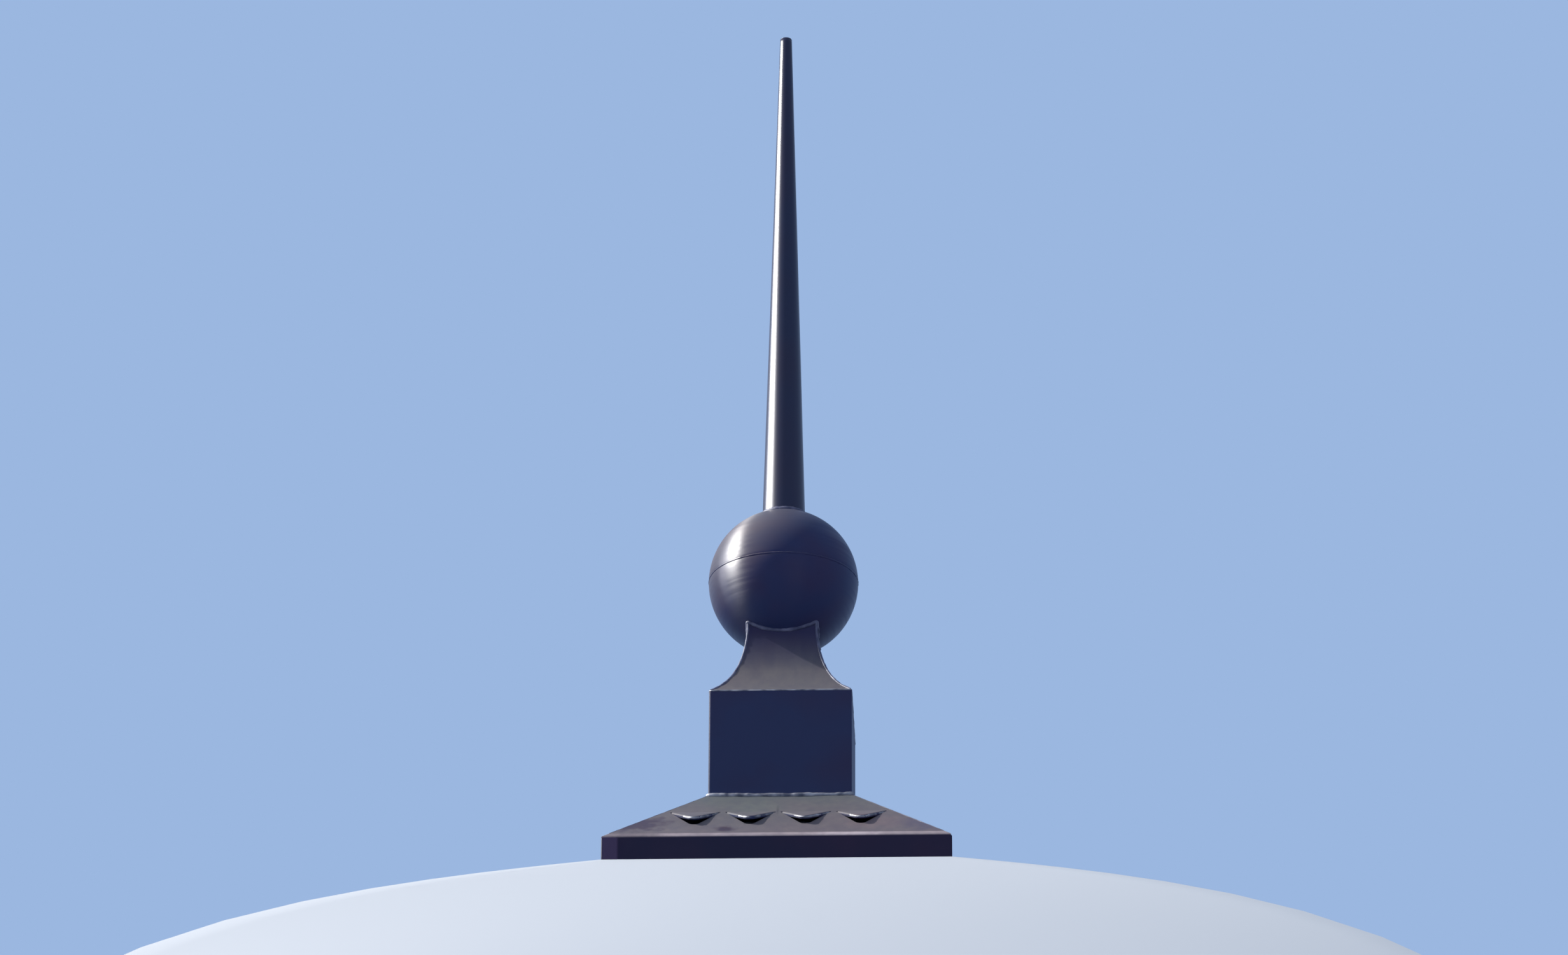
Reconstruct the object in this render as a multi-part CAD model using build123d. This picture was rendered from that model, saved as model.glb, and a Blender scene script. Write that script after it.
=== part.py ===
from build123d import *
import math
import os

# Square sheet-metal roof finial, millimetres.
# +Z runs up the spire, -Y is the front face, and z = 0 is the rim of the drip edge.

# Sheet
sheet = 1.0
seat_gap = 0.15

# Skirt that caps the roof's peak, and its drip edge
skirt_width = 397.0
skirt_rise = 97.0
drip_height = 28.5
arris_radius = 5.0
skirt_return = 9.0
hip_radius = 2.5
lap_radius = 1.5
hem_height = 8.0
hem_notch = 3.0
lap_tab = 18.0

# Vents lanced in each skirt face
vent_count = 4
vent_pitch = 63.5
vent_width = 57.0
vent_length = 52.0
vent_start = 63.0
vent_lift = 10.5
vent_lip = 3.0
vent_bend_radius = 2.5
vent_kerf = 0.8
vent_root = 1.0
vent_tip_radius = 7.0

# Square box
box_width = 166.5
box_height = 132.5
box_corner_radius = 2.5

# Concave neck between the box and the ball
neck_top_width = 80.5
neck_rise = 112.0
neck_top_lean = 0.5
neck_foot_lean = 52.0
neck_corner_radius = 2.5

# Ball, spun in two halves
ball_radius = 89.0
ball_sheet = 1.2
ball_over_box = 174.5
seam_width = 3.0
seam_proud = 0.8

# Spire, a rolled cone with a plugged tip
spire_foot_radius = 25.5
spire_tip_radius = 7.3
spire_length = 651.5
spire_sheet = 1.0
tip_plug_depth = 12.0
tip_crown = 1.6
foot_ring_width = 5.0

# Mast: a socket below for the roof's rod, and a tube that carries the ball and the spire
tube_radius = 16.7
tube_wall = 3.4
socket_bore = 17.0
socket_wall = 4.0
socket_end = 6.0
socket_mouth = 120.0
plate_thickness = 2.0
plate_flange = 14.0
plate_drop = 8.0
brace_height = 20.0
brace_thickness = 3.0

# Levels and half widths that follow from the sizes above
skirt_half = skirt_width / 2
box_half = box_width / 2
skirt_run = skirt_half - box_half
skirt_pitch = math.atan2(skirt_rise, skirt_run)
box_foot = drip_height + skirt_rise
box_top = box_foot + box_height
ball_centre = box_top + ball_over_box
spire_top = ball_centre + ball_radius + spire_length
plate_top = box_top - plate_drop
plate_under = plate_top - plate_thickness

side_turns = {"front": 0, "right": 90, "back": 180, "left": 270}


def wedge(reach, low, high):
    """Return the quarter of space in front of the two mitre planes."""
    outline = Polyline((0, 0), (reach, -reach), (-reach, -reach), close=True)
    return Pos(0, 0, low) * extrude(make_face(outline), amount=high - low)


def front_sheet(profile, reach):
    """Extrude a closed profile, given as (y, z) points, along X and mitre both of its ends."""
    face = Plane.YZ * make_face(profile)
    block = extrude(face, amount=reach, both=True)
    low = block.bounding_box().min.Z - 1
    high = block.bounding_box().max.Z + 1
    return block & wedge(reach + 1, low, high)


def crossed_prisms(outline):
    """Return the solid that shows one outline, drawn left of the axis, on all four sides."""
    reach = outline.bounding_box().size.X
    prism = extrude(Plane.YZ * outline, amount=reach, both=True)
    prism += Rot(0, 0, 180) * prism
    return prism & (Rot(0, 0, 90) * prism)


def corner_edges(solid):
    """Return the edges that run up the four corners of a square solid."""
    edges = []
    for edge in solid.edges():
        middle = edge @ 0.5
        on_mitre = abs(abs(middle.X) - abs(middle.Y)) < 0.01
        if on_mitre and abs((edge @ 1).Z - (edge @ 0).Z) > sheet:
            edges.append(edge)
    return edges


def skirt_envelope():
    """Return the pyramid that rounds the skirt's hips, run on down past the drip edge."""
    foot_half = box_half + box_foot / math.tan(skirt_pitch)
    outline = make_face(
        Polyline((-box_half, box_foot), (-foot_half, 0), (0, 0), (0, box_foot), close=True)
    )
    pyramid = crossed_prisms(outline)
    return fillet(corner_edges(pyramid), hip_radius)


def slope_plane(down, lift_angle=0.0):
    """Return the front skirt's outer plane at a distance down its slope, local Y up the slope."""
    across = math.cos(skirt_pitch)
    fall = math.sin(skirt_pitch)
    origin = (0, -box_half - down * across, box_foot - down * fall)
    plane = Plane(origin=origin, x_dir=(1, 0, 0), z_dir=(0, -fall, across))
    return plane.rotated((-lift_angle, 0, 0))


def vent_outline(width, length):
    """Draw a vent's tongue: a V that points down the slope and ends in a round tip."""
    left = (-width / 2, 0)
    right = (width / 2, 0)
    path = FilletPolyline(left, (0, -length), right, radius=vent_tip_radius)
    return make_face([path, Line(right, left)])


def rolled_edges(block):
    """Return a block's top edges along its V, without its hinge line."""
    top = block.edges().group_by(Axis.Z)[-1]
    hinge = top.sort_by(Axis.Y)[-1]
    return [edge for edge in top if edge.center().Y < hinge.center().Y - sheet]


def make_tongue():
    """Make a vent's tongue, flat on its hinge line, with its edge rolled down along the V."""
    outline = vent_outline(vent_width, vent_length)
    limb_angle = math.atan2(vent_width / 2, vent_length)
    depth = sheet + vent_lip
    outer = extrude(outline, amount=-depth)
    outer = fillet(rolled_edges(outer), vent_bend_radius)
    inner = Pos(0, sheet / math.sin(limb_angle), -sheet) * extrude(outline, amount=-depth)
    inner = fillet(rolled_edges(inner), vent_bend_radius - sheet)
    return outer - inner


def make_skirt():
    """Make the front skirt sheet, with its tongues cut on three sides and lifted."""
    across = math.cos(skirt_pitch)
    fall = math.sin(skirt_pitch)
    end = (-skirt_half + skirt_return * across, drip_height + skirt_return * fall)
    profile = Polyline(
        (-box_half, box_foot),
        end,
        (end[0] + sheet * fall, end[1] - sheet * across),
        (-box_half + sheet / fall, box_foot),
        close=True,
    )
    skirt = front_sheet(profile, skirt_half) & skirt_envelope()
    lift_angle = math.degrees(math.asin(vent_lift / vent_length))
    slit_length = vent_length - vent_root + 2 * vent_kerf
    slit = extrude(
        vent_outline(vent_width + 2 * vent_kerf, slit_length), amount=2 * sheet, both=True
    )
    flat = slope_plane(vent_start + vent_root)
    lifted = slope_plane(vent_start, lift_angle)
    tongue = make_tongue()
    for index in range(vent_count):
        shift = Pos((index - (vent_count - 1) / 2) * vent_pitch, 0, 0)
        skirt -= flat * shift * slit
        skirt += lifted * shift * tongue
    return skirt


def make_drip_edge():
    """Make the front drip edge: a web with a folded hem, a lap tab and a rounded arris on top."""
    turn = math.pi / 2 - skirt_pitch
    web_top = drip_height - arris_radius * math.tan(turn / 2)
    corner = (Align.MIN, Align.MIN, Align.MIN)
    web = Pos(-skirt_half + sheet, -skirt_half, 0) * Box(
        skirt_width, sheet, web_top, align=corner
    )
    hem_length = skirt_width - 2 * (2 * sheet + hem_notch)
    hem = Pos(0, -skirt_half + sheet, 0) * Box(
        hem_length, sheet, hem_height, align=(Align.CENTER, Align.MIN, Align.MIN)
    )
    tab = Pos(skirt_half, -skirt_half, 0) * Box(sheet, lap_tab, web_top, align=corner)
    bent_web = web + hem + tab
    lap_edge = bent_web.edges().filter_by(Axis.Z).group_by(Axis.X)[-1].sort_by(Axis.Y)[0]
    bent_web = fillet(lap_edge, lap_radius)
    across = math.cos(skirt_pitch)
    fall = math.sin(skirt_pitch)
    end = (-skirt_half + skirt_return * across, drip_height + skirt_return * fall)
    bend = -math.degrees(turn)
    centre = (-skirt_half + arris_radius, web_top)
    outer = CenterArc(centre, arris_radius, 180, bend)
    inner = CenterArc(centre, arris_radius - sheet, 180, bend)
    inner_end = (end[0] + sheet * fall, end[1] - sheet * across)
    arris = make_face([
        outer,
        Line(outer @ 1, end),
        Line(end, inner_end),
        Line(inner_end, inner @ 1),
        inner,
        Line(inner @ 0, outer @ 0),
    ])
    return bent_web + (front_sheet(arris, skirt_half) & skirt_envelope())


def make_box_wall():
    """Make the front wall of the square box, with half of the bend at each of its corners."""
    ring = RectangleRounded(box_width, box_width, box_corner_radius)
    ring -= RectangleRounded(
        box_width - 2 * sheet, box_width - 2 * sheet, box_corner_radius - sheet
    )
    tube = Pos(0, 0, box_foot) * extrude(ring, amount=box_height)
    return tube & wedge(box_width, box_foot - 1, box_top + 1)


def neck_solid(inset, foot_inset):
    """Return the neck as a solid with its arrises rounded, inset from the outer face."""
    leans = []
    for lean in (neck_foot_lean, neck_top_lean):
        angle = math.radians(lean)
        leans.append((math.sin(angle), math.cos(angle)))
    foot = (-box_half + foot_inset, box_top)
    head = (-neck_top_width / 2 + inset, box_top + neck_rise)
    outline = make_face([
        Spline(foot, head, tangents=leans),
        Line(head, (0, head[1])),
        Line((0, head[1]), (0, foot[1])),
        Line((0, foot[1]), foot),
    ])
    neck = crossed_prisms(outline)
    return fillet(corner_edges(neck), neck_corner_radius - inset)


def make_neck():
    """Make the front neck sheet, a hollow curve from the box's top scribed to the ball."""
    foot_inset = sheet / math.cos(math.radians(neck_foot_lean))
    shell = neck_solid(0, 0) - neck_solid(sheet, foot_inset)
    shell -= Pos(0, 0, ball_centre) * Sphere(ball_radius)
    return shell & wedge(box_width, box_top - 1, ball_centre)


def make_ball_half(side):
    """Make one spun half of the ball, with a hole at its pole for the mast tube."""
    outer = Sphere(ball_radius)
    inner = Sphere(ball_radius - ball_sheet)
    shell = outer - inner
    half = Box(
        2 * ball_radius,
        2 * ball_radius,
        ball_radius,
        align=(Align.CENTER, Align.CENTER, Align.MIN if side > 0 else Align.MAX),
    )
    hole = Cylinder(tube_radius + seat_gap, 4 * ball_radius)
    return Pos(0, 0, ball_centre) * ((shell & half) - hole)


def make_seam():
    """Make the soldered seam that stands proud round the ball's equator."""
    lift = ball_radius + seam_proud
    half = seam_width / 2
    edge = math.sqrt(ball_radius**2 - half**2)
    outline = make_face([
        ThreePointArc((edge, -half), (lift, 0), (edge, half)),
        ThreePointArc((edge, half), (ball_radius, 0), (edge, -half)),
    ])
    return Pos(0, 0, ball_centre) * revolve(Plane.XZ * outline, axis=Axis.Z)


def spire_radius(height):
    """Return the spire's outer radius at a height."""
    low = ball_centre + ball_radius
    share = (height - low) / (spire_top - low)
    return spire_foot_radius + share * (spire_tip_radius - spire_foot_radius)


def make_spire():
    """Make the rolled cone, scribed to the top of the ball."""
    low = ball_centre + ball_radius / 2
    profile = Polyline(
        (spire_radius(low), low),
        (spire_tip_radius, spire_top - tip_crown),
        (spire_tip_radius - spire_sheet, spire_top - tip_crown),
        (spire_radius(low) - spire_sheet, low),
        close=True,
    )
    cone = revolve(Plane.XZ * make_face(profile), axis=Axis.Z)
    return cone - Pos(0, 0, ball_centre) * Sphere(ball_radius)


def make_tip():
    """Make the plug that closes the spire's tip with a low crown."""
    low = spire_top - tip_crown
    dome_radius = (spire_tip_radius**2 + tip_crown**2) / (2 * tip_crown)
    stem = Cylinder(
        spire_tip_radius - spire_sheet,
        tip_plug_depth,
        align=(Align.CENTER, Align.CENTER, Align.MAX),
    )
    crown = Cylinder(
        spire_tip_radius, tip_crown, align=(Align.CENTER, Align.CENTER, Align.MIN)
    )
    crown &= Pos(0, 0, tip_crown - dome_radius) * Sphere(dome_radius)
    return Pos(0, 0, low) * (stem + crown)


def make_foot_ring():
    """Make the soldered fillet that runs round the spire's foot on the ball."""
    inner = spire_radius(ball_centre + ball_radius)
    outer = inner + foot_ring_width
    outer_height = ball_centre + math.sqrt(ball_radius**2 - outer**2)
    top = ball_centre + ball_radius + foot_ring_width
    profile = Polyline(
        (inner / 2, outer_height - foot_ring_width),
        (outer, outer_height - foot_ring_width),
        (outer, outer_height),
        (spire_radius(top), top),
        (inner / 2, top),
        close=True,
    )
    ring = revolve(Plane.XZ * make_face(profile), axis=Axis.Z)
    low = ball_centre + ball_radius / 2
    cone = Pos(0, 0, (low + spire_top) / 2) * Cone(
        spire_radius(low), spire_tip_radius, spire_top - low
    )
    return ring - cone - Pos(0, 0, ball_centre) * Sphere(ball_radius)


def make_upper_plate():
    """Make the tray-shaped plate across the box's top that centres the mast tube."""
    width = box_width - 2 * (sheet + seat_gap)
    room_width = width - 2 * plate_thickness
    tray = extrude(RectangleRounded(width, width, box_corner_radius), amount=-plate_flange)
    room = extrude(Rectangle(room_width, room_width), amount=-plate_flange)
    hole = Cylinder(tube_radius + seat_gap, 4 * plate_thickness)
    plate = tray - Pos(0, 0, -plate_thickness) * room - hole
    return Pos(0, 0, plate_top) * plate


def make_socket():
    """Make the closed-ended socket that slides over the rod on the roof's peak."""
    depth = plate_under - socket_mouth
    body = Cylinder(
        socket_bore + socket_wall,
        depth,
        align=(Align.CENTER, Align.CENTER, Align.MIN),
    )
    bore = Cylinder(
        socket_bore,
        depth - socket_end,
        align=(Align.CENTER, Align.CENTER, Align.MIN),
    )
    return Pos(0, 0, socket_mouth) * (body - bore)


def make_brace():
    """Make the four flat bars that stand between the socket and the box's walls."""
    inner = socket_bore + socket_wall
    outer = box_half - sheet - seat_gap
    bar = Box(
        outer - inner,
        brace_thickness,
        brace_height,
        align=(Align.MIN, Align.CENTER, Align.MIN),
    )
    bar = Pos(inner, 0, box_foot) * bar
    return Compound([Rot(0, 0, turn) * bar for turn in side_turns.values()])


def make_mast_tube():
    """Make the tube that stands on the socket and ends where the spire closes round it."""
    slope = (spire_foot_radius - spire_tip_radius) / spire_length
    inner_foot = spire_foot_radius - spire_sheet
    top = ball_centre + ball_radius + (inner_foot - tube_radius - 2 * seat_gap) / slope
    tube = Cylinder(
        tube_radius, top - plate_under, align=(Align.CENTER, Align.CENTER, Align.MIN)
    )
    bore = Cylinder(
        tube_radius - tube_wall,
        top - plate_under,
        align=(Align.CENTER, Align.CENTER, Align.MIN),
    )
    return Pos(0, 0, plate_under) * (tube - bore)


def build():
    """Return every sub-part by its name."""
    parts = {}
    sheets = {
        "neck": make_neck(),
        "box": make_box_wall(),
        "skirt": make_skirt(),
        "drip_edge": make_drip_edge(),
    }
    for name, piece in sheets.items():
        for side, turn in side_turns.items():
            parts[f"{name}_{side}"] = Rot(0, 0, turn) * piece
    parts["spire_cone"] = make_spire()
    parts["spire_tip_plug"] = make_tip()
    parts["spire_foot_ring"] = make_foot_ring()
    parts["ball_upper_half"] = make_ball_half(1)
    parts["ball_lower_half"] = make_ball_half(-1)
    parts["ball_seam_band"] = make_seam()
    parts["mast_tube"] = make_mast_tube()
    parts["mast_upper_plate"] = make_upper_plate()
    parts["mast_socket"] = make_socket()
    parts["mast_brace"] = make_brace()
    return parts


os.makedirs("parts", exist_ok=True)
for name, piece in build().items():
    export_step(piece, f"parts/{name}.step")
    print(name, round(piece.volume))
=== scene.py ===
import math

import bmesh
import bpy
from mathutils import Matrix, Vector


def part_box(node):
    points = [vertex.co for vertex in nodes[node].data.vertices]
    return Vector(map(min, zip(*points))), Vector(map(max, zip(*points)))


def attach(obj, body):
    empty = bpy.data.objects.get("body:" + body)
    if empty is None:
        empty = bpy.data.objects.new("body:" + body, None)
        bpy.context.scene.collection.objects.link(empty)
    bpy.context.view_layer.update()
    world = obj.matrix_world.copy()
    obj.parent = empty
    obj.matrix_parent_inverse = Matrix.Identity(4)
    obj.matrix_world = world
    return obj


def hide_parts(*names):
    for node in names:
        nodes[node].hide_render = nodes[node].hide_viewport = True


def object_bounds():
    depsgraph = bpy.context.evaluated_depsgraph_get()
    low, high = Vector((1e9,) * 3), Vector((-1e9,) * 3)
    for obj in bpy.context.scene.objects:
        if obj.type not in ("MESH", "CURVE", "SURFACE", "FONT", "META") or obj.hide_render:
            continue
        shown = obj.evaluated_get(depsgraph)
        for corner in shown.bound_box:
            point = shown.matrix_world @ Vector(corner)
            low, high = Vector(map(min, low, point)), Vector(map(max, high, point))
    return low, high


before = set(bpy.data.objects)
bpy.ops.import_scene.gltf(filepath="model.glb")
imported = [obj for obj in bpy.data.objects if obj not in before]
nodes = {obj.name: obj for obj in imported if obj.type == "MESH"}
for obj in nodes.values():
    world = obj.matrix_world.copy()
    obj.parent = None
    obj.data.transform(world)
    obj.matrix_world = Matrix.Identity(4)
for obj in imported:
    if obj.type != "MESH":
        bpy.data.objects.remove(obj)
cadLow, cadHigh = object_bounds()
scene = bpy.context.scene
print("frame:", len(nodes), "nodes, height", round(cadHigh.z, 3), "m")

# Places read off the frame, in metres
boxLow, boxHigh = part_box("box_front")
rimLow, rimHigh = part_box("drip_edge_front")
ballLow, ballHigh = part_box("ball_upper_half")
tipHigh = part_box("spire_tip_plug")[1]
boxHalf, boxFoot, boxTop = -boxLow.y, boxLow.z, boxHigh.z
rimHalf, rimTop = -rimLow.y, rimHigh.z
ballRadius, ballCentre = ballHigh.x, ballLow.z
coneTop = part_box("spire_cone")[1].z
tipRadius, tipTop = tipHigh.x, tipHigh.z


# Small tools
def hexColour(text):
    channels = [int(text[i:i + 2], 16) / 255 for i in (1, 3, 5)]
    linear = [c / 12.92 if c <= 0.04045 else ((c + 0.055) / 1.055) ** 2.4 for c in channels]
    return (*linear, 1.0)


def addNode(tree, kind, inputs=None, **settings):
    node = tree.nodes.new(kind)
    for name, value in settings.items():
        setattr(node, name, value)
    for key, value in (inputs or {}).items():
        if isinstance(value, bpy.types.NodeSocket):
            tree.links.new(value, node.inputs[key])
        else:
            node.inputs[key].default_value = value
    return node


def newMaterial(name):
    material = bpy.data.materials.new(name)
    material.use_nodes = True
    material.node_tree.nodes.clear()
    return material, material.node_tree


def newObject(name, mesh):
    piece = bpy.data.objects.new(name, mesh)
    scene.collection.objects.link(piece)
    return piece


# Coated steel sheet: a dark bronze satin coat, baked on rolled steel before it was folded.
# To the eye: near-black with slow purple-brown patches and a blue cast that is a painted reflection of
# blue sky, a soft wide sheen that the slightly buckled sheet bends, and on what faces up and towards
# the key a grey film, partly dust and chalk and partly painted sunlight, which is pinker towards the
# rim, with the odd purple-brown stain.
sheetCoat = {
    # painted reflection: the blue in the cool tone stands for blue sky seen in the coat's shade
    "cool": "#2d375a",
    "warm": "#33314f",
    "patchSize": 0.15,
    "patchEdges": (0.4, 0.65),      # the noise values between which cool turns to warm
    "litFilm": ((0.03, "#6a656d"), (0.12, "#5c6366"), (0.28, "#616268")),    # height in metres, tone
    "litFilmWarm": "#6a646c",
    "litFilmWarmth": 0.6,      # how far the film takes on the warm patches
    # the film's side: where rain strikes, and also towards the key, so that the film is partly painted
    # sunlight
    "weatherAndLitSide": (-0.2, 0.0, 0.98),   # the side that sun and rain strike
    "litFilmStart": 0.08,
    "litFilmFull": 0.42,
    "streakWidth": 0.010,
    "streakLength": 0.12,
    "streakEdges": (0.3, 0.75),
    "streakFilm": 0.75,     # the share of the film that the rain has left in a streak
    "grainScale": 90.0,     # to the metre, for the ragged edges of the stains
    "stainRagged": 0.9,
    "stainEdges": (1.3, 0.7),
    "stains": (     # place, reach, tone and strength
        ((-0.0583, -0.180, 0.0442), (0.019, 0.03, 0.010), "#3d3346", 0.9),
        ((-0.165, -0.165, 0.060), (0.062, 0.06, 0.040), "#3f374c", 0.85),
        ((0.170, -0.170, 0.060), (0.050, 0.06, 0.040), "#51506a", 0.6),
        ((-0.0010, -0.128, 0.088), (0.0026, 0.03, 0.020), "#45464f", 0.6),
        ((0.110, -0.160, 0.058), (0.060, 0.06, 0.030), "#776a70", 0.5),
        ((-0.030, -0.125, 0.095), (0.050, 0.04, 0.030), "#646b6c", 0.5),
    ),
    "buckleSize": 0.085,
    "buckleDepth": 0.0012,
    "peelSize": 0.0035,     # orange peel is about 1 mm across, drawn coarser so that it shows
    "peelDepth": 0.00005,
    "roughness": 0.45,
    "filmRoughness": 0.6,
    "gloss": 0.06,
}
# The strips of the rim: the same coat, warmer, with a paler film of chalk and painted sunlight on the
# bend that faces up, and a lap tab at one end
rimCoat = {
    **sheetCoat,
    "cool": "#25263f",
    "warm": "#2e273f",
    "litFilm": ((0.0, "#97909a"), (0.035, "#97909a")),
    "litFilmWarm": "#9a9197",
    "stains": (
        ((-0.165, -0.196, 0.031), (0.060, 0.03, 0.03), "#69646e", 0.8),
        ((0.080, -0.196, 0.031), (0.060, 0.03, 0.03), "#b3abb6", 0.9),
    ),
    "lapTone": "#463d5b",
    "lapWidth": 0.019,
    "lapBlur": 0.0008,
}


def toneRamp(tree, place, tones):
    height = addNode(tree, "ShaderNodeSeparateXYZ", {0: place}).outputs[2]
    low, high = tones[0][0], tones[-1][0]
    share = addNode(tree, "ShaderNodeMapRange", {"Value": height, "From Min": low, "From Max": high})
    ramp = addNode(tree, "ShaderNodeValToRGB", {0: share.outputs[0]})
    stops = ramp.color_ramp.elements
    for at, tone in tones[1:-1]:
        stops.new((at - low) / (high - low)).color = hexColour(tone)
    stops[0].color = hexColour(tones[0][1])
    stops[-1].color = hexColour(tones[-1][1])
    return ramp.outputs[0]


def addStain(tree, place, ground, grain, stain, values):
    centre, reach, tone, strength = stain
    outer, inner = values["stainEdges"]
    apart = addNode(tree, "ShaderNodeMapping", {
        "Vector": place, "Location": tuple(-c / r for c, r in zip(centre, reach)),
        "Scale": tuple(1 / r for r in reach)})
    distance = addNode(tree, "ShaderNodeVectorMath", {0: apart.outputs[0]}, operation="LENGTH")
    ragged = addNode(tree, "ShaderNodeMath", {
        0: grain, 1: values["stainRagged"], 2: distance.outputs["Value"]}, operation="MULTIPLY_ADD")
    share = addNode(tree, "ShaderNodeMapRange", {
        "Value": ragged.outputs[0], "From Min": outer, "From Max": inner, "To Max": strength},
        interpolation_type="SMOOTHSTEP")
    return addNode(tree, "ShaderNodeMix", {0: share.outputs[0], 6: ground, 7: hexColour(tone)},
                   data_type="RGBA").outputs[2]


def makeSheetCoat(name, values):
    material, tree = newMaterial(name)
    place = addNode(tree, "ShaderNodeTexCoord").outputs["Object"]
    geometry = addNode(tree, "ShaderNodeNewGeometry").outputs
    patches = addNode(tree, "ShaderNodeTexNoise", {
        "Vector": place, "Scale": 1 / values["patchSize"], "Detail": 3.0, "Roughness": 0.55})
    patchShare = addNode(tree, "ShaderNodeMapRange", {
        "Value": patches.outputs[0],
        "From Min": values["patchEdges"][0], "From Max": values["patchEdges"][1]}).outputs[0]
    coat = addNode(tree, "ShaderNodeMix", {
        0: patchShare, 6: hexColour(values["cool"]), 7: hexColour(values["warm"])}, data_type="RGBA")
    warmth = addNode(tree, "ShaderNodeMath", {0: patchShare, 1: values["litFilmWarmth"]},
                     operation="MULTIPLY")
    litFilm = addNode(tree, "ShaderNodeMix", {
        0: warmth.outputs[0], 6: toneRamp(tree, place, values["litFilm"]),
        7: hexColour(values["litFilmWarm"])}, data_type="RGBA").outputs[2]
    grain = addNode(tree, "ShaderNodeTexNoise", {
        "Vector": place, "Scale": values["grainScale"], "Detail": 4.0}).outputs[0]
    for stain in values["stains"]:
        litFilm = addStain(tree, place, litFilm, grain, stain, values)
    stretched = addNode(tree, "ShaderNodeMapping", {
        "Vector": place,
        "Scale": (1 / values["streakWidth"], 1 / values["streakWidth"], 1 / values["streakLength"])})
    streaks = addNode(tree, "ShaderNodeTexNoise", {
        "Vector": stretched.outputs[0], "Scale": 1.0, "Detail": 3.0})
    streakShare = addNode(tree, "ShaderNodeMapRange", {
        "Value": streaks.outputs[0],
        "From Min": values["streakEdges"][0], "From Max": values["streakEdges"][1],
        "To Min": 1.0, "To Max": values["streakFilm"]})
    # painted sunlight: the film share grows on faces turned up and towards the key, beside the dust it
    # stands for
    litFacing = addNode(tree, "ShaderNodeVectorMath", {
        0: geometry["Normal"], 1: values["weatherAndLitSide"]}, operation="DOT_PRODUCT")
    upAndLitShare = addNode(tree, "ShaderNodeMapRange", {
        "Value": litFacing.outputs["Value"],
        "From Min": values["litFilmStart"], "From Max": values["litFilmFull"]})
    litFilmShare = addNode(tree, "ShaderNodeMath", {
        0: upAndLitShare.outputs[0], 1: streakShare.outputs[0]}, operation="MULTIPLY").outputs[0]
    if "lapTone" in values:
        coat = addLap(tree, place, geometry["True Normal"], coat, values)
    colour = addNode(tree, "ShaderNodeMix", {
        0: litFilmShare, 6: coat.outputs[2], 7: litFilm}, data_type="RGBA")
    roughness = addNode(tree, "ShaderNodeMapRange", {
        "Value": litFilmShare, "To Min": values["roughness"], "To Max": values["filmRoughness"]})
    buckles = addNode(tree, "ShaderNodeTexNoise", {
        "Vector": place, "Scale": 1 / values["buckleSize"], "Detail": 1.0})
    peel = addNode(tree, "ShaderNodeTexNoise", {
        "Vector": place, "Scale": 1 / values["peelSize"], "Detail": 1.0})
    wide = addNode(tree, "ShaderNodeBump", {
        "Height": buckles.outputs[0], "Distance": values["buckleDepth"], "Strength": 1.0})
    fine = addNode(tree, "ShaderNodeBump", {
        "Height": peel.outputs[0], "Distance": values["peelDepth"], "Strength": 1.0,
        "Normal": wide.outputs[0]})
    shader = addNode(tree, "ShaderNodeBsdfPrincipled", {
        "Base Color": colour.outputs[2], "Roughness": roughness.outputs[0],
        "Specular IOR Level": values["gloss"], "Normal": fine.outputs[0]})
    addNode(tree, "ShaderNodeOutputMaterial", {"Surface": shader.outputs[0]})
    return material


# The lap at the left end of each rim strip, where the next strip is wrapped round the corner
def addLap(tree, place, normal, coat, values):
    at = addNode(tree, "ShaderNodeSeparateXYZ", {0: place}).outputs
    out = addNode(tree, "ShaderNodeSeparateXYZ", {0: normal}).outputs
    one = addNode(tree, "ShaderNodeMath", {0: at[0], 1: out[1]}, operation="MULTIPLY")
    other = addNode(tree, "ShaderNodeMath", {0: at[1], 1: out[0]}, operation="MULTIPLY")
    along = addNode(tree, "ShaderNodeMath", {0: one.outputs[0], 1: other.outputs[0]},
                    operation="SUBTRACT")
    edge = rimHalf - values["lapWidth"]
    share = addNode(tree, "ShaderNodeMapRange", {
        "Value": along.outputs[0],
        "From Min": edge - values["lapBlur"], "From Max": edge + values["lapBlur"]})
    return addNode(tree, "ShaderNodeMix", {
        0: share.outputs[0], 6: coat.outputs[2], 7: hexColour(values["lapTone"])}, data_type="RGBA")


# Spun and rolled steel: the ball, spun in two cups, and the spire, a rolled cone, under the same coat.
# To the eye: the same dark satin with its painted blue sky cast, smoother and glossier, and a lighter
# film on the side towards the key that is painted sunlight. On the ball, fine marks round the axis draw
# the highlight out along the form, and the rolled cone has none.
roundCoat = {
    # painted reflection: the blue here also stands for blue sky in the shade
    "cool": "#263158",
    "warm": "#322d4f",
    "litFilmCool": "#5c5d6a",
    "litFilmWarm": "#6a6268",
    # the key's side: the film on the ball and spire gathers there as painted sunlight
    "weatherAndLitSide": (-0.66, -0.1, 0.74),
    "litFilmStart": 0.12,
    "litFilmFull": 0.8,
    "patchSize": 0.12,
    "patchEdges": (0.42, 0.66),
    "ringSize": 0.003,      # tool marks are about 1 mm apart, drawn coarser so that they show
    "ringWaver": 6.0,       # to the metre: how soon a mark changes along its run
    "ringEdges": (0.3, 0.7),
    "ringDepth": 0.000012,
    "roughness": 0.33,
    "ringDulling": 0.12,    # how much rougher the marks are than the metal between them
    "gloss": 0.14,
    "stretch": 0.8,
    "stretchTurn": 0.25,
}
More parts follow.
